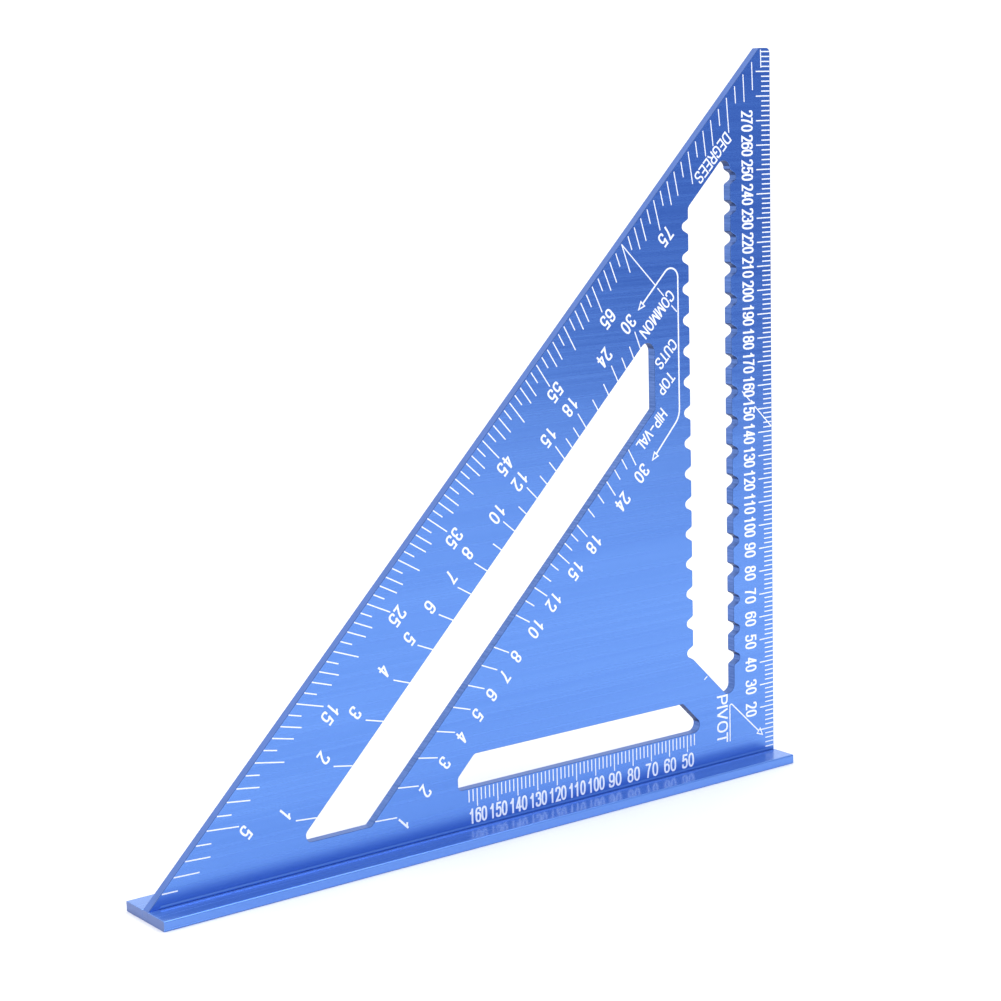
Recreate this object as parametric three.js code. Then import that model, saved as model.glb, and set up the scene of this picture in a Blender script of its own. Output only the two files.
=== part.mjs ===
// Speed square: a 45 degree triangular blade seated in the groove of a flat fence.
// Millimetres, +Z up. The fence stands on Z = 0 and runs along X, and the blade rises from its
// middle. The origin is the centre of the fence's underside. The right angle is at the +X end.
//
// Blade outlines are drawn from the pivot, the corner where the blade's upright edge meets the
// top of the fence: x is negative towards the toe and z is height above the fence.

import * as THREE from 'three';

// Driving dimensions
const BLADE_THICKNESS = 4;
const FENCE_LENGTH = 306;
const FENCE_OVERHANG = 12.2;       // on each side of the blade
const FENCE_THICKNESS = 4;
const FENCE_EDGE_RADIUS = 0.6;
const TONGUE_DEPTH = 2.5;          // how far the blade sits down in the fence
const GROOVE_CHAMFER = 0.3;        // at the mouth of the groove
const HYPOTENUSE_REACH = 305.5;    // where the sloping edge meets the top of the fence
const TIP_HEIGHT = 299.5;
const TIP_RADIUS = 2;

const LINE_WINDOW = { left: -45.9, right: -22.8, headOffset: 282.2, apexRadius: 3.5, headRadius: 3 };
const NOTCH = { pitch: 12.7, halfWidth: 3, floorHalfWidth: 1.15, depth: 3.4 };
const NOTCH_RADII = { mouth: 1, floor: 1.9 };
const LEFT_NOTCHES = { first: 4, last: 18 };       // at whole pitches above the fence
const RIGHT_NOTCHES = { first: 3.5, last: 19.5 };  // half a pitch higher than the left row

const RAFTER_WINDOW = { right: -65, bottom: 10.65, upperOffset: 253.4, lowerOffset: 220.6 };
const RAFTER_RADII = { head: 3.8, toe: 2.7, blunt: 1 };

const FENCE_SLOT = { left: -169, right: -42.9, bottom: 16, top: 29.6, leftCut: 8.3, rightCut: 9.2 };
const SLOT_RADII = { rightFoot: 3.2, leftFoot: 2, side: 2.5, rightShoulder: 1, leftShoulder: 2.5 };

const FILLET_STEP = Math.PI / 7;   // largest turn between two points of a rounded corner

const ANODISED_BLUE = 0x3f74d6;
const ANODISED_BLUE_DEEP = 0x3a6acb;

// One corner of an outline, with the radius that rounds it.
function corner(x, y, radius = 0) {
  return { at: new THREE.Vector2(x, y), radius };
}

// The points that stand for one corner: itself, or an arc tangent to both of its sides.
function cornerPoints(previous, here, next) {
  if (here.radius === 0) return [here.at.clone()];
  const back = previous.at.clone().sub(here.at).normalize();
  const ahead = next.at.clone().sub(here.at).normalize();
  const halfAngle = Math.acos(back.dot(ahead)) / 2;
  const centreDistance = here.radius / Math.sin(halfAngle);
  const centre = back.clone().add(ahead).setLength(centreDistance).add(here.at);
  const tangentLength = here.radius / Math.tan(halfAngle);
  const turn = Math.PI - 2 * halfAngle;
  const side = -Math.sign(back.cross(ahead));
  const start = back.multiplyScalar(tangentLength).add(here.at).sub(centre);
  const steps = Math.ceil(turn / FILLET_STEP);
  const points = [];
  for (let i = 0; i <= steps; i += 1) {
    const arm = start.clone().rotateAround(new THREE.Vector2(), side * turn * i / steps);
    points.push(arm.add(centre));
  }
  return points;
}

function roundedOutline(corners) {
  const count = corners.length;
  return corners.flatMap((here, i) => {
    const previous = corners[(i + count - 1) % count];
    const next = corners[(i + 1) % count];
    return cornerPoints(previous, here, next);
  });
}

// The four corners of one notch cut into an upright side at x, away from the window by `outward`,
// in the order met when travelling in the `travel` direction along z.
function notchCorners(x, z, outward, travel) {
  const floor = x + outward * NOTCH.depth;
  return [
    corner(x, z - travel * NOTCH.halfWidth, NOTCH_RADII.mouth),
    corner(floor, z - travel * NOTCH.floorHalfWidth, NOTCH_RADII.floor),
    corner(floor, z + travel * NOTCH.floorHalfWidth, NOTCH_RADII.floor),
    corner(x, z + travel * NOTCH.halfWidth, NOTCH_RADII.mouth),
  ];
}

function notchRow(x, row, outward, travel) {
  const corners = [];
  for (let n = row.first; n <= row.last; n += 1) {
    const place = travel > 0 ? n : row.first + row.last - n;
    corners.push(...notchCorners(x, place * NOTCH.pitch, outward, travel));
  }
  return corners;
}

// The window for scribing lines along a board: notches on both upright sides, 45 degree ends.
// Its lower end slopes away from the mouth of the lowest left notch.
function lineWindow() {
  const { left, right, headOffset, apexRadius, headRadius } = LINE_WINDOW;
  const footOffset = LEFT_NOTCHES.first * NOTCH.pitch - NOTCH.halfWidth + left;
  return roundedOutline([
    corner(right, footOffset - right, apexRadius),
    ...notchRow(right, RIGHT_NOTCHES, 1, 1),
    corner(right, headOffset + right, apexRadius),
    corner(left, headOffset + left, headRadius),
    ...notchRow(left, LEFT_NOTCHES, -1, -1),
  ]);
}

// The long window parallel to the sloping edge, between the two rafter scales.
function rafterWindow() {
  const { right, bottom, upperOffset, lowerOffset } = RAFTER_WINDOW;
  return roundedOutline([
    corner(right, right + lowerOffset, RAFTER_RADII.blunt),
    corner(right, right + upperOffset, RAFTER_RADII.head),
    corner(bottom - upperOffset, bottom, RAFTER_RADII.toe),
    corner(bottom - lowerOffset, bottom, RAFTER_RADII.blunt),
  ]);
}

// The slot beside the fence, with its two upper corners cut off at 45 degrees.
function fenceSlot() {
  const { left, right, bottom, top, leftCut, rightCut } = FENCE_SLOT;
  return roundedOutline([
    corner(right, bottom, SLOT_RADII.rightFoot),
    corner(right, top - rightCut, SLOT_RADII.side),
    corner(right - rightCut, top, SLOT_RADII.rightShoulder),
    corner(left + leftCut, top, SLOT_RADII.leftShoulder),
    corner(left, top - leftCut, SLOT_RADII.side),
    corner(left, bottom, SLOT_RADII.leftFoot),
  ]);
}

// The triangle, with its tip cut level and a tongue below it that fills the whole groove.
function bladeOutline() {
  return roundedOutline([
    corner(0, -TONGUE_DEPTH),
    corner(0, TIP_HEIGHT, TIP_RADIUS),
    corner(TIP_HEIGHT - HYPOTENUSE_REACH, TIP_HEIGHT, TIP_RADIUS / 4),
    corner(-HYPOTENUSE_REACH, 0),
    corner(-FENCE_LENGTH, 0),
    corner(-FENCE_LENGTH, -TONGUE_DEPTH),
  ]);
}

function bladeGeometry() {
  const shape = new THREE.Shape(bladeOutline());
  shape.holes = [lineWindow(), rafterWindow(), fenceSlot()].map((points) => new THREE.Path(points));
  const geometry = new THREE.ExtrudeGeometry(shape, { depth: BLADE_THICKNESS, bevelEnabled: false });
  geometry.translate(0, 0, -BLADE_THICKNESS / 2);
  geometry.rotateX(Math.PI / 2);
  return geometry;
}

// The fence's cross-section across the blade (y) and upwards (z), grooved for the tongue.
function fenceSection() {
  const groove = BLADE_THICKNESS / 2;
  const half = groove + FENCE_OVERHANG;
  const mouth = groove + GROOVE_CHAMFER;
  const rim = FENCE_THICKNESS - GROOVE_CHAMFER;
  const floor = FENCE_THICKNESS - TONGUE_DEPTH;
  return roundedOutline([
    corner(-half, 0, FENCE_EDGE_RADIUS),
    corner(half, 0, FENCE_EDGE_RADIUS),
    corner(half, FENCE_THICKNESS, FENCE_EDGE_RADIUS),
    corner(mouth, FENCE_THICKNESS),
    corner(groove, rim),
    corner(groove, floor),
    corner(-groove, floor),
    corner(-groove, rim),
    corner(-mouth, FENCE_THICKNESS),
    corner(-half, FENCE_THICKNESS, FENCE_EDGE_RADIUS),
  ]);
}

function fenceGeometry() {
  const shape = new THREE.Shape(fenceSection());
  const geometry = new THREE.ExtrudeGeometry(shape, { depth: FENCE_LENGTH, bevelEnabled: false });
  const across = new THREE.Vector3(0, 1, 0);
  const up = new THREE.Vector3(0, 0, 1);
  const along = new THREE.Vector3(1, 0, 0);
  geometry.translate(0, 0, -FENCE_LENGTH / 2);
  geometry.applyMatrix4(new THREE.Matrix4().makeBasis(across, up, along));
  return geometry;
}

function anodised(color) {
  return new THREE.MeshStandardMaterial({ color, roughness: 0.42, metalness: 0.85 });
}

function piece(name, geometry, material) {
  const mesh = new THREE.Mesh(geometry, material);
  mesh.name = name;
  return mesh;
}

const blade = piece('blade', bladeGeometry(), anodised(ANODISED_BLUE));
blade.position.set(FENCE_LENGTH / 2, 0, FENCE_THICKNESS);

const fence = piece('fence', fenceGeometry(), anodised(ANODISED_BLUE_DEEP));

const speedSquare = new THREE.Group();
speedSquare.name = 'speed_square';
speedSquare.add(blade, fence);

export default speedSquare;
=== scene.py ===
import math

import bmesh
import bpy
from mathutils import Matrix, Vector
from mathutils.geometry import delaunay_2d_cdt, tessellate_polygon


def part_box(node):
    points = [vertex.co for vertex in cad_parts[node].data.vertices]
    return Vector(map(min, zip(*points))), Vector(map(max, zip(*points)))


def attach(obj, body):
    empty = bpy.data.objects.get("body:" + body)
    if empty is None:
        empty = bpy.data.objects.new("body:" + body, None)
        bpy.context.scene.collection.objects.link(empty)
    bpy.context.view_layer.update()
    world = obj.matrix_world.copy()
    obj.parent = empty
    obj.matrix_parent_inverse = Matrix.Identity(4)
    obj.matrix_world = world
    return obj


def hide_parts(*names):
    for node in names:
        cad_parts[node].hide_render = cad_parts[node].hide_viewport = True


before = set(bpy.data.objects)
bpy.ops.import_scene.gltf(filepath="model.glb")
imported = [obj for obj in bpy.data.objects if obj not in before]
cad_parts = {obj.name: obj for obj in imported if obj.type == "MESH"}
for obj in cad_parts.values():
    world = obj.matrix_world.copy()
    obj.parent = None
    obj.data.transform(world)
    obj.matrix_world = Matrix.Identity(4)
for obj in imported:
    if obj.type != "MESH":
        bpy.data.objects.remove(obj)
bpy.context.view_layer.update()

# ---------------------------------------------------------------------------------------------
# A speed square: a triangular blade standing in the groove of a flat fence, with white scales.
#
# Blender works in metres in the CAD frame. Flat shapes are drawn in millimetres from the pivot,
# the corner where the blade's upright edge meets the top of the fence: x is negative towards
# the toe, z is height above the fence. The blade's front face looks along -Y.
# ---------------------------------------------------------------------------------------------

MM = 0.001

blade_low, blade_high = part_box("blade")
fence_low, fence_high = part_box("fence")

BLADE_THICKNESS = (blade_high.y - blade_low.y) / MM
FENCE_LENGTH = (fence_high.x - fence_low.x) / MM
FENCE_WIDTH = (fence_high.y - fence_low.y) / MM
FENCE_THICKNESS = (fence_high.z - fence_low.z) / MM
TONGUE_DEPTH = (fence_high.z - blade_low.z) / MM
TIP_HEIGHT = (blade_high.z - fence_high.z) / MM
HYPOTENUSE_REACH = 305.5      # where the sloping edge meets the top of the fence

FRONT = blade_low.y / MM

# The blade's outline and windows, as on the CAD part
TIP_RADIUS = 2.0
SLOPE_TIP_RADIUS = 0.5       # where the sloping edge ends at the tip
LINE_WINDOW = dict(left=-45.9, right=-22.8, head_offset=282.2, apex_radius=3.5, head_radius=3.0)
NOTCH = dict(pitch=12.7, half_width=3.0, floor_half_width=1.15, depth=3.4)
NOTCH_RADII = dict(mouth=1.0, floor=1.9)
LEFT_NOTCHES = (4.0, 18.0)   # first and last notch of each row, in pitches above the pivot
RIGHT_NOTCHES = (3.5, 19.5)
RAFTER_WINDOW = dict(right=-65.0, bottom=10.65, upper_offset=253.4, lower_offset=220.6)
RAFTER_RADII = dict(head=3.8, toe=2.7, blunt=1.0)
FENCE_SLOT = dict(left=-169.0, right=-42.9, bottom=16.0, top=29.6, left_cut=8.3, right_cut=9.2)
SLOT_RADII = dict(right_foot=3.2, left_foot=2.0, side=2.5, right_shoulder=1.0, left_shoulder=2.5)

EDGE_BREAK = 0.16            # rounding of the blade's edges and the fence's ends
FENCE_EDGE_RADIUS = 0.6
GROOVE_CHAMFER = 0.3
ROOT_BEAD = dict(low=0.12, shoulder=0.6, high=1.6, proud=0.26, toe=-301.5, heel=-0.2)

# How finely the shapes are drawn
FILLET_TURN = math.radians(9)
SHARP_FROM = math.radians(40)
EDGE_STEPS = 3
CURVE_STEPS = 6
INSET_MITER = 0.35           # smallest cosine at a corner, which limits how far the corner moves
RIBBON_MITER = 0.45
SAME_POINT = 1e-3
SLIVER_AREA = 1e-4
UNION_TOLERANCE = 1e-5
CELL_SIZE = 5.0

# Marks
MARK_HEIGHT = 0.03           # how far the white filling stands proud
MARK_DEPTH = 0.02            # how far it reaches into the metal
TICK_WIDTH = 0.48
NUMERAL_STROKE = 0.82
WORD_STROKE = 0.68
ARROW_STROKE = 0.55


# ------------------------------------------------------------------------------ outlines

def rounded(corners, closed=True):
    """The points of a line through corners (x, z, radius), each rounded by a tangent arc."""
    points = []
    count = len(corners)
    for i, (x, z, radius) in enumerate(corners):
        here = Vector((x, z))
        is_end = not closed and i in (0, count - 1)
        if radius <= 0 or is_end:
            points.append(here)
            continue
        before = Vector(corners[i - 1][:2])
        after = Vector(corners[(i + 1) % count][:2])
        points.extend(corner_arc(before, here, after, radius))
    return points


def corner_arc(before, here, after, radius):
    back = (before - here).normalized()
    ahead = (after - here).normalized()
    half_angle = math.acos(max(-1.0, min(1.0, back.dot(ahead)))) / 2
    bisector = (back + ahead).normalized()
    centre = here + bisector * (radius / math.sin(half_angle))
    start = here + back * (radius / math.tan(half_angle)) - centre
    sweep = math.pi - 2 * half_angle
    side = -math.copysign(1.0, back.x * ahead.y - back.y * ahead.x)
    steps = max(2, math.ceil(sweep / FILLET_TURN))
    return [centre + turned(start, side * sweep * k / steps) for k in range(steps + 1)]


def turned(arm, angle):
    """A flat vector turned anticlockwise by an angle in radians."""
    c = math.cos(angle)
    s = math.sin(angle)
    return Vector((arm.x * c - arm.y * s, arm.x * s + arm.y * c))


def notch_corners(x, z, outward, travel):
    """The corners of one notch, cut outwards (-1 or 1) from x, met going up (1) or down (-1)."""
    floor = x + outward * NOTCH["depth"]
    return [
        (x, z - travel * NOTCH["half_width"], NOTCH_RADII["mouth"]),
        (floor, z - travel * NOTCH["floor_half_width"], NOTCH_RADII["floor"]),
        (floor, z + travel * NOTCH["floor_half_width"], NOTCH_RADII["floor"]),
        (x, z + travel * NOTCH["half_width"], NOTCH_RADII["mouth"]),
    ]


def notch_row(x, row, outward, travel):
    """The corners of a row of notches, from its lowest one (travel 1) or its highest (-1)."""
    first, last = row
    corners = []
    for k in range(round(last - first) + 1):
        place = first + k if travel > 0 else last - k
        corners += notch_corners(x, place * NOTCH["pitch"], outward, travel)
    return corners


def line_window():
    w = LINE_WINDOW
    left, right = w["left"], w["right"]
    foot_offset = LEFT_NOTCHES[0] * NOTCH["pitch"] - NOTCH["half_width"] + left
    return rounded([
        (right, foot_offset - right, w["apex_radius"]),
        *notch_row(right, RIGHT_NOTCHES, 1, 1),
        (right, w["head_offset"] + right, w["apex_radius"]),
        (left, w["head_offset"] + left, w["head_radius"]),
        *notch_row(left, LEFT_NOTCHES, -1, -1),
    ])


def rafter_window():
    w = RAFTER_WINDOW
    right, bottom = w["right"], w["bottom"]
    return rounded([
        (right, right + w["lower_offset"], RAFTER_RADII["blunt"]),
        (right, right + w["upper_offset"], RAFTER_RADII["head"]),
        (bottom - w["upper_offset"], bottom, RAFTER_RADII["toe"]),
        (bottom - w["lower_offset"], bottom, RAFTER_RADII["blunt"]),
    ])


def fence_slot():
    w = FENCE_SLOT
    left, right, bottom, top = w["left"], w["right"], w["bottom"], w["top"]
    return rounded([
        (right, bottom, SLOT_RADII["right_foot"]),
        (right, top - w["right_cut"], SLOT_RADII["side"]),
        (right - w["right_cut"], top, SLOT_RADII["right_shoulder"]),
        (left + w["left_cut"], top, SLOT_RADII["left_shoulder"]),
        (left, top - w["left_cut"], SLOT_RADII["side"]),
        (left, bottom, SLOT_RADII["left_foot"]),
    ])


def blade_outline():
    return rounded([
        (0.0, -TONGUE_DEPTH, 0.0),
        (0.0, TIP_HEIGHT, TIP_RADIUS),
        (TIP_HEIGHT - HYPOTENUSE_REACH, TIP_HEIGHT, SLOPE_TIP_RADIUS),
        (-HYPOTENUSE_REACH, 0.0, 0.0),
        (-FENCE_LENGTH, 0.0, 0.0),
        (-FENCE_LENGTH, -TONGUE_DEPTH, 0.0),
    ])


# ------------------------------------------------------------------------------ mesh helpers

def in_frame(x, y, z):
    """A point given in millimetres from the pivot, y from the blade's middle plane."""
    return Vector((blade_high.x + x * MM, y * MM, fence_high.z + z * MM))


def signed_area(loop):
    area = 0.0
    for a, b in zip(loop, loop[1:] + loop[:1]):
        area += a.x * b.y - b.x * a.y
    return area / 2


def inset(loop, distance):
    """The closed loop moved sideways by distance, to the left of its direction of travel."""
    moved = []
    count = len(loop)
    for i, here in enumerate(loop):
        incoming = (here - loop[i - 1]).normalized()
        outgoing = (loop[(i + 1) % count] - here).normalized()
        normal_in = Vector((-incoming.y, incoming.x))
        normal_out = Vector((-outgoing.y, outgoing.x))
        miter = (normal_in + normal_out).normalized()
        moved.append(here + miter * (distance / max(INSET_MITER, miter.dot(normal_in))))
    return moved


def mesh_object(name, bm):
    bmesh.ops.recalc_face_normals(bm, faces=bm.faces)
    mesh = bpy.data.meshes.new(name)
    bm.to_mesh(mesh)
    bm.free()
    piece = bpy.data.objects.new(name, mesh)
    bpy.context.scene.collection.objects.link(piece)
    return piece


def smooth_with_flats(piece):
    """Smooth shading on the rounded edges, with the large flat faces kept flat."""
    piece.data.shade_smooth()
    piece.data.set_sharp_from_angle(angle=SHARP_FROM)
    weighted = piece.modifiers.new("flat_faces", "WEIGHTED_NORMAL")
    weighted.keep_sharp = True
    weighted.weight = 100


def edge_profile(half, radius):
    """(inset, y) from the front face round to the back face of a plate."""
    front = []
    for k in range(EDGE_STEPS + 1):
        angle = math.pi / 2 * k / EDGE_STEPS
        front.append((radius * (1 - math.sin(angle)), -half + radius * (1 - math.cos(angle))))
    back = [(step, -y) for step, y in reversed(front)]
    return front + back


def plate(name, outer, holes, thickness, radius):
    """A flat plate with windows, whose edges are rounded by radius on both faces."""
    outer = outer if signed_area(outer) > 0 else outer[::-1]
    holes = [hole if signed_area(hole) < 0 else hole[::-1] for hole in holes]
    profile = edge_profile(thickness / 2, radius)
    bm = bmesh.new()
    rims = {"front": [], "back": []}
    for loop in [outer, *holes]:
        rings = []
        for step, y in profile:
            ring = inset(loop, step) if step > 0 else loop
            rings.append([bm.verts.new(in_frame(p.x, y, p.y)) for p in ring])
        for near, far in zip(rings, rings[1:]):
            for i in range(len(loop)):
                j = (i + 1) % len(loop)
                bm.faces.new((near[i], near[j], far[j], far[i]))
        rims["front"].append((inset(loop, profile[0][0]), rings[0]))
        rims["back"].append((inset(loop, profile[-1][0]), rings[-1]))
    for side in rims.values():
        flat = [[p.to_3d() for p in points] for points, _ in side]
        verts = [v for _, ring in side for v in ring]
        for triangle in tessellate_polygon(flat):
            bm.faces.new([verts[i] for i in triangle])
    return mesh_object(name, bm)


# ------------------------------------------------------------------------------ blade and fence

def make_blade():
    outline = blade_outline()
    windows = [line_window(), rafter_window(), fence_slot()]
    blade = plate("blade_body", outline, windows, BLADE_THICKNESS, EDGE_BREAK)
    smooth_with_flats(blade)
    return blade


def make_root_bead(name, side):
    """The thin raised line along the foot of the blade, on the side -1 (front) or 1 (back).

    Its end at the toe slants as the blade's sloping edge does.
    """
    surface = BLADE_THICKNESS / 2
    low, high, proud = ROOT_BEAD["low"], ROOT_BEAD["high"], ROOT_BEAD["proud"]
    section = rounded([
        (surface - proud, low, 0.0),
        (surface + proud, low, proud / 2),
        (surface + proud, ROOT_BEAD["shoulder"], proud / 2),
        (surface - proud, high, 0.0),
    ])
    bm = bmesh.new()
    ends = []
    for x, slant in ((ROOT_BEAD["toe"], 1.0), (ROOT_BEAD["heel"], 0.0)):
        ends.append([bm.verts.new(in_frame(x + slant * p.y, side * p.x, p.y)) for p in section])
    toe, heel = ends
    for i in range(len(section)):
        j = (i + 1) % len(section)
        bm.faces.new((toe[i], toe[j], heel[j], heel[i]))
    bm.faces.new(toe)
    bm.faces.new(heel)
    bead = mesh_object(name, bm)
    smooth_with_flats(bead)
    return bead


def fence_section():
    """The fence's outline across its length: a flat bar with the blade's groove in its top."""
    half = FENCE_WIDTH / 2
    groove = BLADE_THICKNESS / 2
    mouth = groove + GROOVE_CHAMFER
    top = FENCE_THICKNESS
    floor = top - TONGUE_DEPTH
    radius = FENCE_EDGE_RADIUS
    return rounded([
        (-half, 0.0, radius),
        (half, 0.0, radius),
        (half, top, radius),
        (mouth, top, GROOVE_CHAMFER / 2),
        (groove, top - GROOVE_CHAMFER, 0.0),
        (groove, floor, 0.0),
        (-groove, floor, 0.0),
        (-groove, top - GROOVE_CHAMFER, 0.0),
        (-mouth, top, GROOVE_CHAMFER / 2),
        (-half, top, radius),
    ])


def make_fence():
    """The grooved bar, swept along X with its two ends slightly rounded."""
    section = fence_section()
    middle = (fence_low.x + fence_high.x) / 2
    bm = bmesh.new()
    rings = []
    for step, x in edge_profile(FENCE_LENGTH / 2, EDGE_BREAK):
        ring = inset(section, step) if step > 0 else section
        rings.append([bm.verts.new((middle + x * MM, p.x * MM, fence_low.z + p.y * MM)) for p in ring])
    for near, far in zip(rings, rings[1:]):
        for i in range(len(section)):
            j = (i + 1) % len(section)
            bm.faces.new((near[i], near[j], far[j], far[i]))
    flat = [[p.to_3d() for p in inset(section, EDGE_BREAK)]]
    for triangle in tessellate_polygon(flat):
        bm.faces.new([rings[0][i] for i in triangle])
        bm.faces.new([rings[-1][i] for i in triangle])
    fence = mesh_object("fence_bar", bm)
    smooth_with_flats(fence)
    return fence


# ------------------------------------------------------------------------------ marks

class Marks:
    """Gathers the flat white strokes on the blade's front face, joined where they cross."""

    def __init__(self):
        self.points = []
        self.edges = []
        self.cells = {}

    def stroke(self, points, width, closed=False):
        """A ribbon of constant width along points, with square ends."""
        left, right = ribbon_sides(points, width / 2, closed)
        first = len(self.points)
        for pair in zip(left, right):
            self.points.extend(pair)
        count = len(points)
        for i in range(count if closed else count - 1):
            a = first + 2 * i
            b = first + 2 * ((i + 1) % count)
            self.triangle(a, a + 1, b + 1)
            self.triangle(a, b + 1, b)

    def triangle(self, *corners):
        """Keeps a triangle of points, turned anticlockwise, in every cell that it touches."""
        area = signed_area([self.points[i] for i in corners])
        if abs(area) < SLIVER_AREA:
            return
        a, b, c = corners if area > 0 else corners[::-1]
        self.edges += [(a, b), (b, c), (c, a)]
        triangle = [self.points[i] for i in (a, b, c)]
        low = cell_of(Vector((min(p.x for p in triangle), min(p.y for p in triangle))))
        high = cell_of(Vector((max(p.x for p in triangle), max(p.y for p in triangle))))
        for column in range(low[0], high[0] + 1):
            for row in range(low[1], high[1] + 1):
                self.cells.setdefault((column, row), []).append(triangle)

    def covers(self, point):
        """Whether a point lies under any of the strokes."""
        return any(is_inside(point, triangle) for triangle in self.cells.get(cell_of(point), []))

    def line(self, start, end, width=TICK_WIDTH):
        self.stroke([Vector(start), Vector(end)], width)

    def path(self, corners, width, closed=False):
        self.stroke(rounded(corners, closed), width, closed)

    def finish(self, name):
        """The union of the strokes as one thin slab: its face, its back and the wall between."""
        points, _, faces, _, _, _ = delaunay_2d_cdt(
            self.points, self.edges, [], 0, UNION_TOLERANCE, False)
        inked = [face for face in faces if self.covers(sum((points[i] for i in face), Vector((0, 0))) / 3)]
        bm = bmesh.new()
        top = {i: bm.verts.new(in_frame(points[i].x, FRONT - MARK_HEIGHT, points[i].y))
               for face in inked for i in face}
        bottom = {i: bm.verts.new(in_frame(points[i].x, FRONT + MARK_DEPTH, points[i].y)) for i in top}
        for face in inked:
            bm.faces.new([top[i] for i in face])
            bm.faces.new([bottom[i] for i in reversed(face)])
        sides = {(a, b) for face in inked for a, b in zip(face, face[1:] + face[:1])}
        for a, b in sorted(sides):
            if (b, a) not in sides:
                bm.faces.new((top[b], top[a], bottom[a], bottom[b]))
        piece = mesh_object(name, bm)
        piece.data.shade_flat()
        return piece


def cell_of(point):
    return (math.floor(point.x / CELL_SIZE), math.floor(point.y / CELL_SIZE))


def is_inside(point, triangle):
    """Whether a point lies in an anticlockwise triangle."""
    for a, b in zip(triangle, triangle[1:] + triangle[:1]):
        if (b.x - a.x) * (point.y - a.y) < (b.y - a.y) * (point.x - a.x):
            return False
    return True


def ribbon_sides(points, half_width, closed):
    """The points to the left and to the right of a line, half_width away from it."""
    left, right = [], []
    count = len(points)
    for i, here in enumerate(points):
        has_before = closed or i > 0
        has_after = closed or i < count - 1
        after = points[(i + 1) % count]
        incoming = (here - points[i - 1]).normalized() if has_before else (after - here).normalized()
        outgoing = (after - here).normalized() if has_after else incoming
        normal_in = Vector((-incoming.y, incoming.x))
        normal_out = Vector((-outgoing.y, outgoing.x))
        miter = (normal_in + normal_out).normalized()
        reach = half_width / max(RIBBON_MITER, miter.dot(normal_in))
        left.append(here + miter * reach)
        right.append(here - miter * reach)
    return left, right


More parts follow.
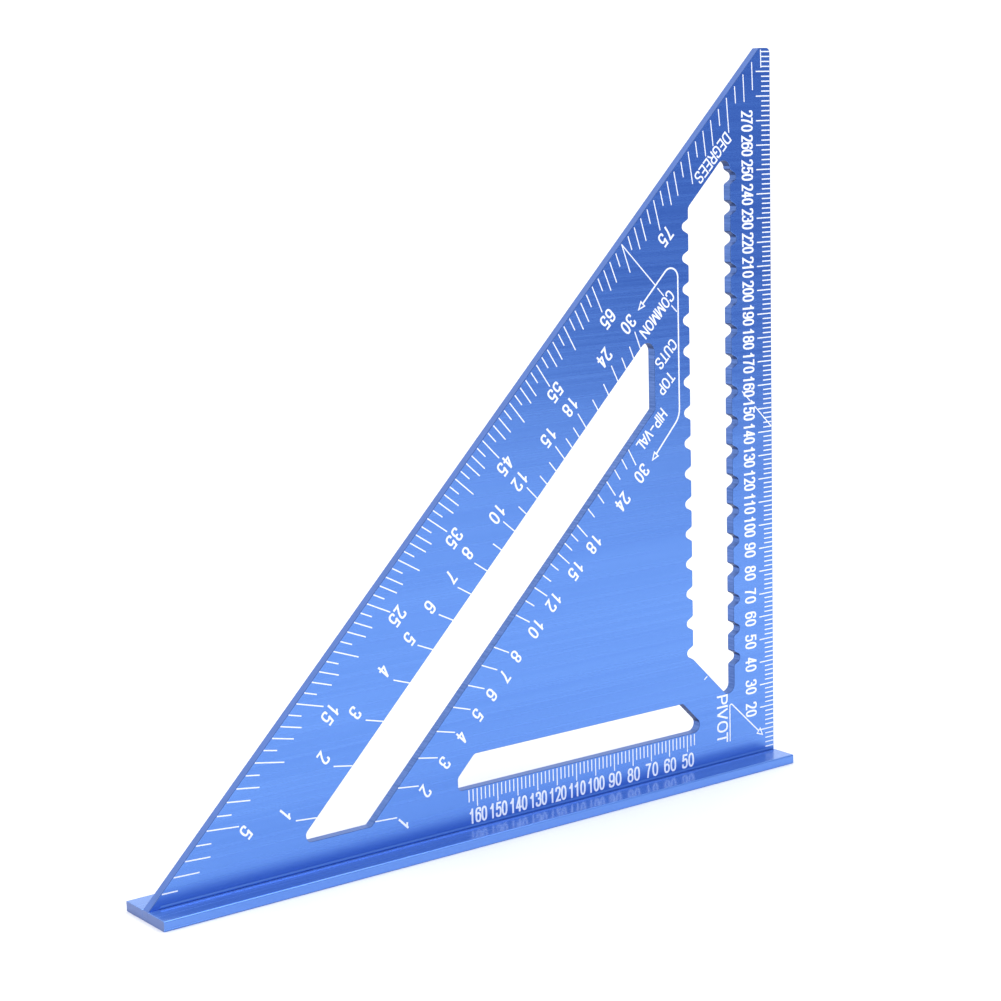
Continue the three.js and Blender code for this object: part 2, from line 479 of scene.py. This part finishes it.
# Lettering drawn as centre lines. A glyph has its width, relative to a numeral's, and its strokes.
# Each stroke is a list of (x, z, roundness): x and z from 0 to 1 across the glyph, and roundness
# from 0, a sharp corner, to 1, a curve that takes up half of both lines that meet there.
LOOP = "loop"
GLYPHS = {
    "0": (1.0, [[(0, 0, 1), (1, 0, 1), (1, 1, 1), (0, 1, 1), LOOP]]),
    "1": (1.0, [[(0.52, 1, 0), (0.52, 0, 0)], [(0.08, 0.75, 0), (0.3, 0.82, 0.6), (0.46, 0.93, 0)]]),
    "2": (1.0, [[(0, 0.8, 0), (0, 1, 1), (1, 1, 1), (1, 0.6, 0.9), (0.12, 0, 0), (1, 0, 0)]]),
    "3": (1.0, [
        [(0.02, 0.8, 0), (0.02, 1, 1), (0.95, 1, 1), (0.95, 0.54, 1), (0.55, 0.54, 0)],
        [(0.55, 0.54, 0), (1, 0.54, 1), (1, 0, 1), (0, 0, 1), (0, 0.2, 0)],
    ]),
    "4": (1.0, [
        [(0.72, 1, 0), (0.72, 0, 0)],
        [(0.62, 0.96, 0), (0.04, 0.33, 0)],
        [(0, 0.27, 0), (1, 0.27, 0)],
    ]),
    "5": (1.0, [
        [(0.92, 1, 0), (0.18, 1, 0), (0.07, 0.58, 0)],
        [(0.14, 0.57, 0), (0.35, 0.66, 1), (1, 0.66, 1), (1, 0, 1), (0, 0, 1), (0, 0.2, 0)],
    ]),
    "6": (1.0, [
        [(0, 0, 1), (1, 0, 1), (1, 0.62, 1), (0, 0.62, 1), LOOP],
        [(0, 0.32, 0), (0, 1, 1), (1, 1, 1), (1, 0.82, 0)],
    ]),
    "7": (1.0, [[(0, 1, 0), (0.88, 1, 0), (0.42, 0.5, 0.8), (0.28, 0, 0)]]),
    "8": (1.0, [
        [(0, 0, 1), (1, 0, 1), (1, 0.55, 1), (0, 0.55, 1), LOOP],
        [(0.07, 0.55, 1), (0.93, 0.55, 1), (0.93, 1, 1), (0.07, 1, 1), LOOP],
    ]),
    "9": (1.0, [
        [(0, 1, 1), (1, 1, 1), (1, 0.38, 1), (0, 0.38, 1), LOOP],
        [(1, 0.68, 0), (1, 0, 1), (0, 0, 1), (0, 0.18, 0)],
    ]),
    "A": (1.4, [
        [(0.02, 0.02, 0), (0.45, 0.97, 0)],
        [(0.98, 0.02, 0), (0.55, 0.97, 0)],
        [(0.34, 0.3, 0), (0.66, 0.3, 0)],
    ]),
    "C": (1.15, [[(1, 0.8, 0), (1, 1, 1), (0, 1, 1), (0, 0, 1), (1, 0, 1), (1, 0.2, 0)]]),
    "D": (1.15, [[(0, 0, 0), (1, 0, 1), (1, 1, 1), (0, 1, 0), LOOP]]),
    "E": (1.0, [[(1, 1, 0), (0, 1, 0), (0, 0, 0), (1, 0, 0)], [(0, 0.53, 0), (0.88, 0.53, 0)]]),
    "G": (1.2, [
        [(1, 0.8, 0), (1, 1, 1), (0, 1, 1), (0, 0, 1), (1, 0, 0.8), (1, 0.47, 0), (0.62, 0.47, 0)],
    ]),
    "H": (1.12, [[(0, 0, 0), (0, 1, 0)], [(1, 0, 0), (1, 1, 0)], [(0, 0.52, 0), (1, 0.52, 0)]]),
    "I": (0.0, [[(0, 0, 0), (0, 1, 0)]]),
    "L": (0.8, [[(0, 1, 0), (0, 0, 0), (1, 0, 0)]]),
    "M": (1.5, [
        [(0, 0, 0), (0, 1, 0)],
        [(1, 0, 0), (1, 1, 0)],
        [(0.08, 0.95, 0), (0.47, 0.12, 0)],
        [(0.92, 0.95, 0), (0.53, 0.12, 0)],
    ]),
    "N": (1.3, [[(0, 0, 0), (0, 1, 0)], [(1, 0, 0), (1, 1, 0)], [(0.08, 0.95, 0), (0.92, 0.05, 0)]]),
    "O": (1.22, [[(0, 0, 1), (1, 0, 1), (1, 1, 1), (0, 1, 1), LOOP]]),
    "P": (1.0, [[(0, 0, 0), (0, 1, 0), (1, 1, 1), (1, 0.45, 1), (0, 0.45, 0)]]),
    "R": (1.1, [
        [(0, 0, 0), (0, 1, 0), (1, 1, 1), (1, 0.47, 1), (0, 0.47, 0)],
        [(0.55, 0.45, 0), (0.98, 0.02, 0)],
    ]),
    "S": (1.1, [[
        (0.97, 0.8, 0), (0.97, 1, 1), (0.03, 1, 1), (0.03, 0.56, 1), (1, 0.48, 1),
        (1, 0, 1), (0, 0, 1), (0, 0.2, 0),
    ]]),
    "T": (1.0, [[(0, 1, 0), (1, 1, 0)], [(0.5, 0.9, 0), (0.5, 0, 0)]]),
    "U": (1.12, [[(0, 1, 0), (0, 0.6, 0), (0, 0, 1), (1, 0, 1), (1, 0.6, 0), (1, 1, 0)]]),
    "V": (1.2, [[(0.02, 0.98, 0), (0.46, 0.04, 0)], [(0.98, 0.98, 0), (0.54, 0.04, 0)]]),
    "-": (0.9, [[(0, 0.4, 0), (1, 0.4, 0)]]),
}
CLOSE_PAIRS = {"VA": 0.4, "AL": 0.2}    # letters set closer, by this part of a numeral's width


def softened(corners, closed):
    """The points of a line through corners (point, roundness), curved at the rounded ones."""
    points = []
    count = len(corners)
    for i, (here, roundness) in enumerate(corners):
        is_end = not closed and i in (0, count - 1)
        if roundness <= 0 or is_end:
            points.append(here)
            continue
        before = here.lerp(corners[i - 1][0], roundness / 2)
        after = here.lerp(corners[(i + 1) % count][0], roundness / 2)
        for k in range(CURVE_STEPS + 1):
            t = k / CURVE_STEPS
            points.append(before.lerp(here, t).lerp(here.lerp(after, t), t))
    return without_repeats(points, closed)


def without_repeats(points, closed):
    kept = [points[0]]
    for point in points[1:]:
        if (point - kept[-1]).length > SAME_POINT:
            kept.append(point)
    if closed and (kept[0] - kept[-1]).length < SAME_POINT:
        kept.pop()
    return kept


class Lettering:
    """A size of lettering: cap height, numeral width and letter gap, all over the ink."""

    def __init__(self, cap, width, gap, stroke=NUMERAL_STROKE):
        self.cap = cap - stroke
        self.width = width - stroke
        self.gap = gap + stroke
        self.stroke = stroke

    def write(self, marks, text, centre, heading):
        """Writes text centred on a point, reading in the direction heading, in degrees."""
        places = []
        pen = 0.0
        for i, letter in enumerate(text):
            pen -= CLOSE_PAIRS.get(text[max(i - 1, 0):i + 1], 0.0) * self.width
            places.append(pen)
            pen += GLYPHS[letter][0] * self.width + self.gap
        middle = (pen - self.gap) / 2
        for letter, place in zip(text, places):
            for stroke in GLYPHS[letter][1]:
                self.draw(marks, stroke, place - middle, GLYPHS[letter][0] * self.width, centre, heading)

    def draw(self, marks, stroke, pen, width, centre, heading):
        closed = stroke[-1] == LOOP
        corners = []
        for x, z, roundness in (stroke[:-1] if closed else stroke):
            local = Vector((pen + x * width, (z - 0.5) * self.cap))
            corners.append((Vector(centre) + turned(local, math.radians(heading)), roundness))
        points = softened(corners, closed)
        if not closed:
            points = self.with_long_ends(points)
        marks.stroke(points, self.stroke, closed)

    def with_long_ends(self, points):
        """Open ends reach half a stroke further, so that all letters have the same height."""
        first = points[0] + (points[0] - points[1]).normalized() * self.stroke / 2
        last = points[-1] + (points[-1] - points[-2]).normalized() * self.stroke / 2
        return [first, *points[1:-1], last]


# Headings of the lettering, in degrees
ALONG_FENCE = 0
DOWN = -90
TOWARDS_TOE = 225

# The lines and numerals of each scale, and where the lines end and the numerals stand across it
EDGE_LINES = range(2, 300, 2)
EDGE_NUMERALS = range(20, 280, 10)
EDGE_SCALE = dict(start=-0.3, short_end=-4.95, long_end=-8.0, numerals=-13.1)
SLOT_LINES = range(46, 166, 2)
SLOT_NUMERALS = range(50, 170, 10)
SLOT_SCALE = dict(start=15.45, short_end=10.55, long_end=8.3, numerals=4.6, shift=0.25)
DEGREE_LINES = range(1, 90)
DEGREE_ENDS = {0: 289.8, 1: 297.7, 2: 293.4, 3: 293.4, 4: 297.7}    # by degrees, modulo 5
DEGREE_SKEW = 0.9            # how far the degree lines drift against the sloping edge at its toe
DEGREE_UNSKEWED = 40         # the degree at which they don't
EDGE_MARGIN = 0.4            # how far the degree lines stop short of the edge
WINDOW_MARGIN = 0.2          # how far the rafter lines stop short of their window

RAFTER_RUN = 12.0
HIP_VAL_RUN = RAFTER_RUN * math.sqrt(2)
RAFTER_NUMBERED = (1, 2, 3, 4, 5, 6, 7, 8, 10, 12, 15, 18, 24, 30)
RAFTER_PLAIN = (9, 11, 13, 14, 16, 17, 20, 22, 26, 28)
HIP_VAL_PLAIN = RAFTER_PLAIN[1:]

ARROW_HEAD = dict(length=3.0, half_width=1.3)


def ray(degrees):
    """The direction from the pivot at this many degrees above the fence, towards the toe."""
    return Vector((-math.cos(math.radians(degrees)), math.sin(math.radians(degrees))))


def on_diagonal(degrees, offset):
    """Where a ray from the pivot meets the 45 degree line z - x = offset."""
    direction = ray(degrees)
    return direction * (offset / (direction.y - direction.x))


def edge_scale(marks):
    """Millimetres along the upright edge: a line every 2, longer at every 10, numbered."""
    for z in EDGE_LINES:
        end = EDGE_SCALE["long_end"] if z % 10 == 0 else EDGE_SCALE["short_end"]
        marks.line((EDGE_SCALE["start"], z), (end, z))
    two_figures = Lettering(cap=6.4, width=2.95, gap=0.4)
    three_figures = Lettering(cap=6.4, width=2.8, gap=0.12)
    for value in EDGE_NUMERALS:
        numerals = two_figures if value < 100 else three_figures
        numerals.write(marks, str(value), (EDGE_SCALE["numerals"], value), DOWN)


def slot_scale(marks):
    """Millimetres from the pivot, under the slot beside the fence."""
    for value in SLOT_LINES:
        end = SLOT_SCALE["long_end"] if value % 10 == 0 else SLOT_SCALE["short_end"]
        marks.line((-value, SLOT_SCALE["start"]), (-value, end))
    two_figures = Lettering(cap=6.15, width=3.15, gap=0.4)
    three_figures = Lettering(cap=6.15, width=2.8, gap=0.12)
    for value in SLOT_NUMERALS:
        numerals = two_figures if value < 100 else three_figures
        centre = (SLOT_SCALE["shift"] - value, SLOT_SCALE["numerals"])
        numerals.write(marks, str(value), centre, ALONG_FENCE)


def degree_scale(marks):
    """One line for every degree, turned about the pivot, along the sloping edge."""
    highest = TIP_HEIGHT - EDGE_MARGIN
    for degrees in DEGREE_LINES:
        askew = DEGREE_SKEW * (1 - degrees / DEGREE_UNSKEWED)
        outer = on_diagonal(degrees, HYPOTENUSE_REACH - EDGE_MARGIN + min(askew, 0.0))
        if outer.y > highest:
            outer *= highest / outer.y
        marks.line(outer, on_diagonal(degrees, DEGREE_ENDS[degrees % 5] + askew))
    numerals = Lettering(cap=6.05, width=3.2, gap=0.65)
    centres = {
        5: (-264.4, 20.5), 15: (-226.3, 57.9), 25: (-194.7, 90.2), 35: (-167.3, 116.4),
        45: (-142.0, 141.6), 55: (-116.5, 167.7), 65: (-89.2, 194.4), 75: (-58.2, 225.2),
    }
    for value, centre in centres.items():
        numerals.write(marks, str(value), centre, TOWARDS_TOE)
    words = Lettering(cap=5.3, width=2.95, gap=0.45, stroke=WORD_STROKE)
    words.write(marks, "DEGREES", (-32.2, 255.7), TOWARDS_TOE)


def rafter_scale(marks, run, rises, centres, edge, numbered_end, plain_end):
    """Lines at the slope of each rise over the run, from a window's edge, numbered at centres."""
    numerals = Lettering(cap=6.05, width=3.15, gap=0.65)
    for rise in rises:
        degrees = math.degrees(math.atan2(rise, run))
        end = numbered_end if rise in centres else plain_end
        marks.line(on_diagonal(degrees, edge), on_diagonal(degrees, end))
        if rise in centres:
            numerals.write(marks, str(rise), centres[rise], TOWARDS_TOE)


def common_scale(marks):
    """Rise in 12 for common rafters, along the window's upper edge."""
    centres = {
        1: (-247.5, 23.6), 2: (-230.0, 41.8), 3: (-215.3, 56.3), 4: (-201.7, 70.1),
        5: (-189.6, 80.6), 6: (-179.6, 91.4), 7: (-169.3, 101.4), 8: (-161.2, 109.7),
        10: (-146.5, 123.1), 12: (-135.1, 134.7), 15: (-120.4, 150.3), 18: (-109.2, 161.2),
        24: (-91.3, 179.1), 30: (-78.6, 191.4),
    }
    rafter_scale(marks, RAFTER_RUN, RAFTER_NUMBERED + RAFTER_PLAIN, centres,
                 edge=RAFTER_WINDOW["upper_offset"] + WINDOW_MARGIN,
                 numbered_end=263.4, plain_end=260.6)


def hip_val_scale(marks):
    """Rise in 17 (12 times the root of 2) for hip and valley rafters, on the lower edge."""
    centres = {
        1: (-195.2, 8.7), 2: (-184.5, 19.4), 3: (-175.1, 28.8), 4: (-166.6, 37.5),
        5: (-158.6, 44.9), 6: (-151.6, 51.8), 7: (-144.9, 57.9), 8: (-139.1, 65.0),
        10: (-128.9, 74.6), 12: (-119.7, 84.0), 15: (-108.1, 95.1), 18: (-98.5, 104.5),
        24: (-83.1, 119.9), 30: (-72.8, 130.2),
    }
    rafter_scale(marks, HIP_VAL_RUN, RAFTER_NUMBERED + HIP_VAL_PLAIN, centres,
                 edge=RAFTER_WINDOW["lower_offset"] - WINDOW_MARGIN,
                 numbered_end=209.8, plain_end=213.4)


def arrow(marks, corners, width):
    """A line through corners (x, z, radius) that ends in an open triangular head."""
    tip = Vector(corners[-1][:2])
    along = (tip - Vector(corners[-2][:2])).normalized()
    across = Vector((-along.y, along.x)) * ARROW_HEAD["half_width"]
    base = tip - along * ARROW_HEAD["length"]
    marks.path([*corners[:-1], (*base, 0)], width)
    marks.path([(*tip, 0), (*(base + across), 0), (*(base - across), 0)], ARROW_STROKE, closed=True)


# The line square to the sloping edge, broken where it meets other marks, and a short tick
LOOSE_LINES = (
    ((-81.4, 223.4), (-64.1, 206.1)),
    ((-62.9, 204.8), (-59.6, 201.4)),
    ((-55.6, 197.3), (-52.7, 194.5)),
    ((-17.0, 158.4), (-12.4, 153.9)),
    ((-9.9, 151.4), (-0.5, 142.1)),
    ((-40.0, 38.0), (-38.3, 39.2)),
)


def legend(marks):
    """The words and arrows that name the scales and the pivot."""
    words = Lettering(cap=5.15, width=2.75, gap=0.45, stroke=WORD_STROKE)
    for text, centre in (("COMMON", (-63.2, 194.3)), ("CUTS", (-58.8, 177.8)),
                         ("TOP", (-59.1, 165.8)), ("HIP-VAL", (-67.1, 147.5))):
        words.write(marks, text, centre, TOWARDS_TOE)
    Lettering(cap=6.2, width=4.2, gap=0.5).write(marks, "PIVOT", (-29.9, 18.85), DOWN)
    arrow(marks, [(-25.6, 8.3, 0), (-25.6, 25.6, 0.8), (-6.7, 7.7, 0)], ARROW_STROKE)
    arrow(marks, [(-52.0, 180.0, 0), (-52.0, 217.9, 3.9), (-73.0, 196.9, 0)], WORD_STROKE)
    arrow(marks, [(-52.0, 180.0, 0), (-52.0, 151.4, 8.5), (-66.9, 135.1, 0)], WORD_STROKE)
    for start, end in LOOSE_LINES:
        marks.line(start, end)


# ------------------------------------------------------------------------------ materials

class Nodes:
    """Small helper for building a material's node tree."""

    def __init__(self, name):
        self.material = bpy.data.materials.new(name)
        self.material.use_nodes = True
        self.tree = self.material.node_tree
        self.tree.nodes.clear()
        self.output = self.add("ShaderNodeOutputMaterial")
        self.shader = self.add("ShaderNodeBsdfPrincipled")
        self.link(self.shader, "BSDF", self.output, "Surface")

    def add(self, kind, **values):
        node = self.tree.nodes.new(kind)
        for key, value in values.items():
            setattr(node, key, value)
        return node

    def link(self, source, output, target, socket):
        self.tree.links.new(source.outputs[output], target.inputs[socket])

    def set(self, **values):
        for key, value in values.items():
            self.shader.inputs[key.replace("_", " ")].default_value = value

    def stretched_noise(self, stretch, detail):
        """Noise in object space, with its own scale along each axis, in cycles per metre."""
        place = self.add("ShaderNodeTexCoord")
        mapping = self.add("ShaderNodeMapping")
        mapping.inputs["Scale"].default_value = stretch
        noise = self.add("ShaderNodeTexNoise")
        noise.inputs["Scale"].default_value = 1.0
        noise.inputs["Detail"].default_value = detail
        noise.inputs["Roughness"].default_value = 0.6
        self.link(place, "Object", mapping, "Vector")
        self.link(mapping, "Vector", noise, "Vector")
        return noise

    def ramp(self, source, output, stops):
        ramp = self.add("ShaderNodeValToRGB")
        elements = ramp.color_ramp.elements
        while len(elements) < len(stops):
            elements.new(0.5)
        for element, (position, color) in zip(elements, stops):
            element.position = position
            element.color = (*color, 1.0)
        self.link(source, output, ramp, "Fac")
        return ramp

    def to_range(self, source, output, low, high, start=0.3, end=0.7):
        convert = self.add("ShaderNodeMapRange")
        convert.inputs["From Min"].default_value = start
        convert.inputs["From Max"].default_value = end
        convert.inputs["To Min"].default_value = low
        convert.inputs["To Max"].default_value = high
        self.link(source, output, convert, "Value")
        return convert

    def bump(self, source, output, strength, distance):
        bump = self.add("ShaderNodeBump")
        bump.inputs["Strength"].default_value = strength
        bump.inputs["Distance"].default_value = distance
        self.link(source, output, bump, "Height")
        self.link(bump, "Normal", self.shader, "Normal")


# Each surface's colour varies from deep to light
BLUE_LIGHT = (0.15, 0.32, 0.78)
BLUE_DEEP = (0.10, 0.235, 0.66)
WALL_LIGHT = (0.15, 0.26, 0.62)
WALL_DEEP = (0.05, 0.12, 0.36)
EDGE_LIGHT = (0.115, 0.215, 0.57)
EDGE_DEEP = (0.09, 0.175, 0.48)
# Painted shade: a darker copy of the wall colours, used on the blade's walls that face down and on its
# rounded edges, where less light falls
PAINTED_SHADE_LIGHT = (0.05, 0.10, 0.28)
PAINTED_SHADE_DEEP = (0.015, 0.035, 0.12)
SAWN_LIGHT = (0.17, 0.235, 0.48)
SAWN_DEEP = (0.12, 0.175, 0.39)
ETCH_LIGHT = (0.96, 0.97, 0.98)
ETCH_DEEP = (0.90, 0.92, 0.95)
FLOOR_LIGHT = (0.95, 0.95, 0.95)
FLOOR_DEEP = (0.93, 0.93, 0.93)

# Patterns on the metal, in cycles per metre along X, Y and Z
BRUSH_LINES = (1.5, 500.0, 500.0)
BRUSH_BANDS = (1.5, 60.0, 60.0)
CUTTER_MARKS = (1700.0, 60.0, 1700.0)
SHEAR_MARKS = (150.0, 300.0, 150.0)
SAW_MARKS = (300.0, 60.0, 900.0)
ETCH_GRAIN = (2200.0, 2200.0, 2200.0)
FLOOR_CLOUDS = (3.0, 3.0, 3.0)

# Depths and heights in metres
BRUSH_DEPTH = 0.00005
MILL_DEPTH = 0.0001
FOOT_ZONE = 0.02             # how far above the fence the blade stays rougher


def brushed_anodised(name, metallic, roughness, relief, foot_roughness):
    """Blue anodised aluminium with the fine lines of its extrusion running along X.

    The lowest part of the blade can be given a rougher finish, which fades out over FOOT_ZONE.
    """
    m = Nodes(name)
    m.set(Metallic=metallic, Coat_Weight=0.15, Coat_Roughness=0.2)
    streaks = m.stretched_noise(BRUSH_LINES, detail=5.0)
    bands = m.stretched_noise(BRUSH_BANDS, detail=3.0)
    mix = m.add("ShaderNodeMix", data_type="RGBA")
    shade = m.ramp(streaks, "Fac", [(0.3, BLUE_DEEP), (0.7, BLUE_LIGHT)])
    broad = m.ramp(bands, "Fac", [(0.3, BLUE_DEEP), (0.7, BLUE_LIGHT)])
    mix.inputs["Factor"].default_value = 0.5
    m.link(shade, "Color", mix, "A")
    m.link(broad, "Color", mix, "B")
    m.link(mix, "Result", m.shader, "Base Color")
    rough = m.to_range(streaks, "Fac", roughness - 0.05, roughness + 0.05)
    place = m.add("ShaderNodeTexCoord")
    height = m.add("ShaderNodeSeparateXYZ")
    m.link(place, "Object", height, "Vector")
    foot = m.to_range(height, "Z", foot_roughness, 0.0, start=fence_high.z, end=fence_high.z + FOOT_ZONE)
    roughest = m.add("ShaderNodeMath", operation="MAXIMUM")
    m.tree.links.new(rough.outputs["Result"], roughest.inputs[0])
    m.tree.links.new(foot.outputs["Result"], roughest.inputs[1])
    m.link(roughest, "Value", m.shader, "Roughness")
    m.bump(streaks, "Fac", relief, BRUSH_DEPTH)
    return m.material


def milled(name, deep, light, stretch):
    """A milled or sawn surface: duller, with the tool's marks across it."""
    m = Nodes(name)
    m.set(Metallic=0.85, Roughness=0.45)
    chatter = m.stretched_noise(stretch, detail=3.0)
    shade = m.ramp(chatter, "Fac", [(0.3, deep), (0.7, light)])
    m.link(shade, "Color", m.shader, "Base Color")
    rough = m.to_range(chatter, "Fac", 0.35, 0.55)
    m.link(rough, "Result", m.shader, "Roughness")
    m.bump(chatter, "Fac", 0.35, MILL_DEPTH)
    return m.material


def etched_white(name):
    """Matt white filling of the etched marks, very slightly uneven."""
    m = Nodes(name)
    m.set(Roughness=0.6)
    grain = m.stretched_noise(ETCH_GRAIN, detail=2.0)
    shade = m.ramp(grain, "Fac", [(0.3, ETCH_DEEP), (0.7, ETCH_LIGHT)])
    m.link(shade, "Color", m.shader, "Base Color")
    return m.material


def studio_floor(name):
    """Plain matt paper, almost white."""
    m = Nodes(name)
    m.set(Roughness=0.7)
    clouds = m.stretched_noise(FLOOR_CLOUDS, detail=2.0)
    shade = m.ramp(clouds, "Fac", [(0.2, FLOOR_DEEP), (0.8, FLOOR_LIGHT)])
    m.link(shade, "Color", m.shader, "Base Color")
    return m.material


# How much of a face's normal points one way, for the face to count as looking that way
SQUARELY = 0.95
PARTLY = 0.3
BARELY = 0.2
NEAR_EDGE = 1.0              # millimetres from the sloping edge's line


def finish_faces(piece, materials, choose):
    """Gives each face of piece the material whose key choose picks for it."""
    names = list(materials)
    for name in names:
        piece.data.materials.append(materials[name])
    for face in piece.data.polygons:
        face.material_index = names.index(choose(face.normal, face.center))


def blade_surface(normal, centre):
    """The name of the surface that a face of the blade belongs to."""
    slope_offset = (centre.z - fence_high.z - centre.x + blade_high.x) / MM
    if abs(normal.y) > SQUARELY:
        return "face"
    if centre.z < fence_high.z:
        return "tongue"
    # The rounded edges get the same darker material, a painted dark outline of shade
    if abs(normal.y) > BARELY:
        return "edge"
    if normal.z > PARTLY and normal.x < -PARTLY and slope_offset > HYPOTENUSE_REACH - NEAR_EDGE:
        return "hypotenuse"
    # Walls that face down get the darker material, which is painted shade
    return "underside" if normal.z < -PARTLY else "wall"


def fence_surface(normal, _):
    """The name of the surface that a face of the fence belongs to."""
    return "end" if abs(normal.x) > SQUARELY else "face"


# ------------------------------------------------------------------------------ stage

# Angles in degrees, lengths in metres, the lens and its sensor in millimetres
CAMERA = dict(azimuth=-36.66, elevation=9.98, roll=-1.56, distance=0.8663, lens=80.35)
CAMERA_AIM = (-144.7, FRONT, 128.2)    # millimetres from the pivot
SENSOR_WIDTH = 36.0
DARK_SIDE = (0.72, -0.68, 0.1)
DARK_SIDE_COLOR = (0.24, 0.32, 0.52)
DARK_SIDE_BLEND = (0.25, 0.95)         # cosines from its middle where it begins and is darkest
WORLD_STRENGTH = 1.22
FLOOR_REACH = 8.0
FLOOR_RIGHT = 0.83            # where the floor ends, to the right of the square


def make_camera():
    data = bpy.data.cameras.new("camera")
    data.lens = CAMERA["lens"]
    data.sensor_width = SENSOR_WIDTH
    data.clip_start = 0.01
    camera = bpy.data.objects.new("camera", data)
    bpy.context.scene.collection.objects.link(camera)
    turn = Matrix.Rotation(math.radians(CAMERA["azimuth"]), 4, "Z")
    tilt = Matrix.Rotation(math.radians(90 - CAMERA["elevation"]), 4, "X")
    roll = Matrix.Rotation(math.radians(CAMERA["roll"]), 4, "Z")
    back_off = Matrix.Translation((0, 0, CAMERA["distance"]))
    camera.matrix_world = Matrix.Translation(in_frame(*CAMERA_AIM)) @ turn @ tilt @ roll @ back_off
    bpy.context.scene.camera = camera


def softbox(name, place, aim, size, power):
    data = bpy.data.lights.new(name, "AREA")
    data.shape = "RECTANGLE"
    data.size = size[0]
    data.size_y = size[1]
    data.energy = power
    lamp = bpy.data.objects.new(name, data)
    bpy.context.scene.collection.objects.link(lamp)
    lamp.location = place
    lamp.rotation_euler = (Vector(aim) - Vector(place)).to_track_quat("-Z", "Y").to_euler()


def make_lights():
    middle = (0.0, 0.0, 0.12)
    softbox("overhead", place=(0.77, -0.74, 1.85), aim=middle, size=(0.9, 0.9), power=12)
    softbox("left_key", place=(-2.0, -0.6, 1.3), aim=middle, size=(1.2, 1.6), power=14)


def make_world():
    """An even white studio with one darker side, to the front right, that the blade mirrors."""
    world = bpy.data.worlds.new("studio")
    world.use_nodes = True
    tree = world.node_tree
    direction = tree.nodes.new("ShaderNodeTexCoord")
    towards = tree.nodes.new("ShaderNodeVectorMath")
    towards.operation = "DOT_PRODUCT"
    towards.inputs[1].default_value = Vector(DARK_SIDE).normalized()
    ramp = tree.nodes.new("ShaderNodeValToRGB")
    ramp.color_ramp.interpolation = "EASE"
    bright, dark = ramp.color_ramp.elements
    bright.position, dark.position = DARK_SIDE_BLEND
    bright.color = (1.0, 1.0, 1.0, 1.0)
    dark.color = (*DARK_SIDE_COLOR, 1.0)
    tree.links.new(direction.outputs["Generated"], towards.inputs[0])
    tree.links.new(towards.outputs["Value"], ramp.inputs["Fac"])
    tree.links.new(ramp.outputs["Color"], tree.nodes["Background"].inputs["Color"])
    tree.nodes["Background"].inputs["Strength"].default_value = WORLD_STRENGTH
    bpy.context.scene.world = world


def make_floor():
    left, right, reach = -FLOOR_REACH, FLOOR_RIGHT, FLOOR_REACH
    corners = ((left, -reach, 0.0), (right, -reach, 0.0), (right, reach, 0.0), (left, reach, 0.0))
    bm = bmesh.new()
    bm.faces.new([bm.verts.new(corner) for corner in corners])
    floor = mesh_object("floor", bm)
    floor.location.z = fence_low.z
    floor.data.materials.append(studio_floor("floor_white"))


# ------------------------------------------------------------------------------ assembly

make_camera()
make_lights()
make_world()
make_floor()
bpy.context.scene.view_settings.view_transform = "Standard"

blade_blue = brushed_anodised("blade_anodised", metallic=0.94, roughness=0.26, relief=0.2,
                              foot_roughness=0.4)
fence_blue = brushed_anodised("fence_anodised", metallic=0.6, roughness=0.24, relief=0.12,
                              foot_roughness=0.0)
wall = milled("milled_wall", WALL_DEEP, WALL_LIGHT, CUTTER_MARKS)
# Painted shade: a darker milled finish for the walls that face down and for the rounded edges
painted_shade = milled("painted_shade_underside", PAINTED_SHADE_DEEP, PAINTED_SHADE_LIGHT, CUTTER_MARKS)
sheared = milled("sheared_edge", EDGE_DEEP, EDGE_LIGHT, SHEAR_MARKS)
sawn = milled("sawn_end", SAWN_DEEP, SAWN_LIGHT, SAW_MARKS)
white = etched_white("etched_white")

# The underside and the rounded edges take the painted shade
blade_finish = {"face": blade_blue, "wall": wall, "underside": painted_shade, "edge": painted_shade,
                "hypotenuse": sheared, "tongue": sawn}
blade = make_blade()
finish_faces(blade, blade_finish, blade_surface)
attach(blade, "root")
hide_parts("blade")

for name, side in (("root_bead_front", -1), ("root_bead_back", 1)):
    bead = make_root_bead(name, side)
    bead.data.materials.append(blade_blue)
    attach(bead, "root")

fence = make_fence()
finish_faces(fence, {"face": fence_blue, "end": sawn}, fence_surface)
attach(fence, "root")
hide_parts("fence")

marks = Marks()
for draw_marks in (edge_scale, slot_scale, degree_scale, common_scale, hip_val_scale, legend):
    draw_marks(marks)
etched = marks.finish("etched_marks")
etched.data.materials.append(white)
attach(etched, "root")
